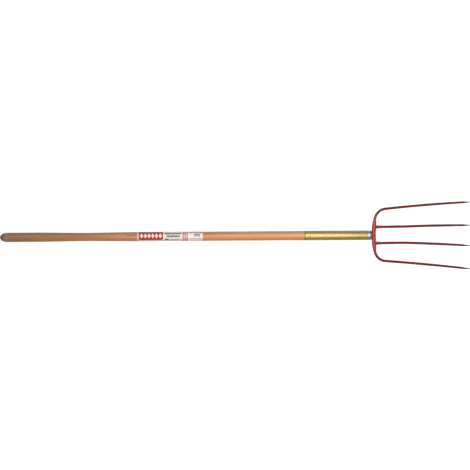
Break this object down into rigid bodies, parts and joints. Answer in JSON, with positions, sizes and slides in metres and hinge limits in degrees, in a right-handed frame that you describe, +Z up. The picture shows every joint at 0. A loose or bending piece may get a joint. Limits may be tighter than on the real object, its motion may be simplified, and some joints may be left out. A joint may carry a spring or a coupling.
{
  "type": "manure fork",
  "caption": "Long-handled manure fork with dished forged tines, a tubular ferrule and a turned wooden handle.",
  "frame": {"origin": "middle of the floor rectangle under the whole tool, which lies on its butt and on its two inner tines", "axes": "+X from the handle's butt to the tips of the tines, +Z up out of the hollow of the tines"},
  "size_m": [1.409, 0.2034, 0.0562],
  "materials": {
    "handle_wood": "waxed ash, fine long grain",
    "ferrule_steel": "yellow passivated zinc, drawn lengthwise",
    "cap_steel": "bright zinc plated",
    "nail_steel": "dull bare steel",
    "head_paint": "glossy red paint over forged steel, points ground bare",
    "label_film": "printed film"
  },
  "bodies": {
    "root": {"handle": "handle_wood", "ferrule": "ferrule_steel", "ferrule_cap": "cap_steel", "ferrule_nail": "nail_steel", "fork_head": "head_paint", "handle_label": "label_film"}
  },
  "joints": []
}
